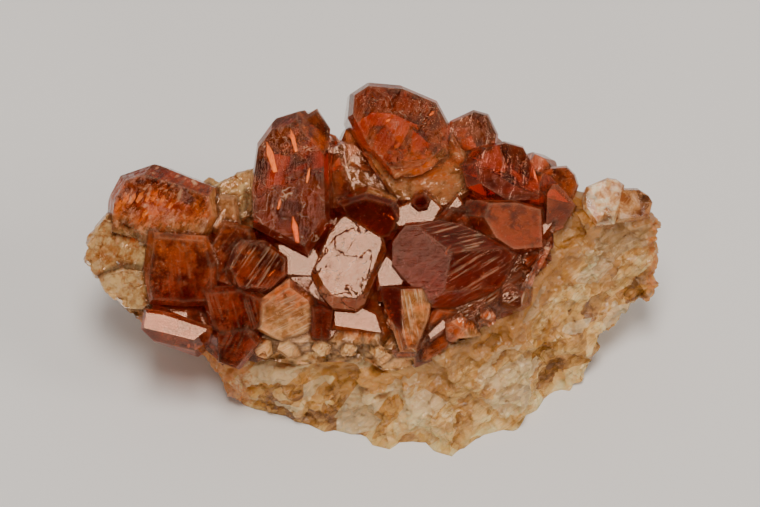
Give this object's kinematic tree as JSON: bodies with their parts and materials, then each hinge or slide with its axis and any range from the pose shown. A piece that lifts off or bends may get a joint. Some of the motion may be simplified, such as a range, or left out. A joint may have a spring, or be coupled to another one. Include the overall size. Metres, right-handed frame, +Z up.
{
  "type": "colemanite crystal specimen on matrix",
  "caption": "Mineral specimen: a wedge of pale massive colemanite lying on its flat underside, crusted over its top and front with stubby glassy red-brown colemanite crystals.",
  "frame": {"origin": "on the resting plane, under the middle of the specimen's box", "axes": "+X along the specimen to the end where the pale pair of crystals stands, +Y to the back, +Z up; the crystals' broad faces look up and forward, towards -Y and +Z"},
  "size_m": [0.0978, 0.0518, 0.0414],
  "materials": {
    "massive_colemanite": "pale cream to honey, translucent and broken into coarse glassy chips, with iron stains",
    "red_brown_crystal": "clear, glassy, from honey yellow at the base to deep red-brown, with growth lines and veils inside",
    "pale_crystal": "nearly colourless to pale brown, glassy, cloudy inside"
  },
  "bodies": {
    "root": {"matrix": "massive_colemanite", "crystal_crust": "red_brown_crystal", "end_crystals": "pale_crystal"}
  },
  "joints": []
}
